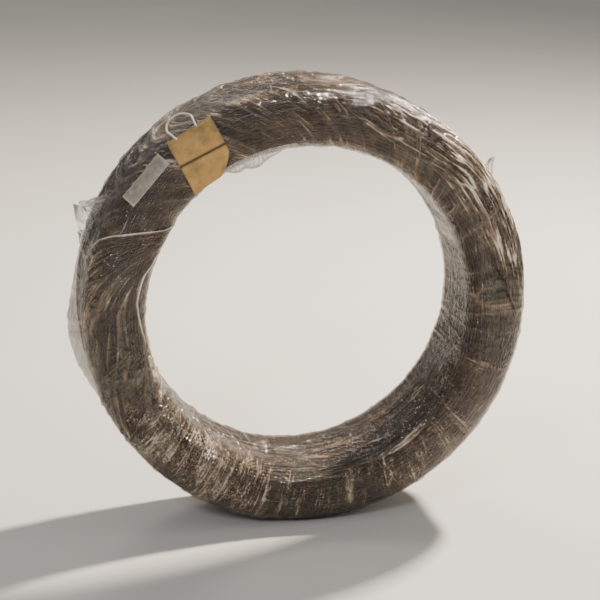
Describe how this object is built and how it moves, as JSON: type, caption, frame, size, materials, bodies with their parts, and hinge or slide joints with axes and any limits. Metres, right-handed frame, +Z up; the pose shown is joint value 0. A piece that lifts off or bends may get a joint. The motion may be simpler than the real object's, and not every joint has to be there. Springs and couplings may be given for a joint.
{
  "type": "coil of wire rod",
  "caption": "Ring-shaped coil of dark steel wire rod wrapped in clear stretch film, standing on its rim, with a yellow card tag on its front end.",
  "frame": {"origin": "middle of the lowest line of the rim, on the floor", "axes": "+Z up, +Y along the eye from the tagged end to the back end, +X to the right of the tagged end"},
  "size_m": [0.6199, 0.1761, 0.62],
  "materials": {
    "rod_steel": "dark drawn or annealed steel rod with a film of oil",
    "stretch_film": "clear glossy stretch film in many wrinkled laps",
    "tag_card": "yellow card with a dark crease",
    "label_paper": "pale bare paper label",
    "string": "white cotton string"
  },
  "bodies": {
    "root": {"wire_coil": "rod_steel", "film_wrap": "stretch_film", "paper_tag": "tag_card", "rim_label": "label_paper", "tag_string": "string"}
  },
  "joints": []
}
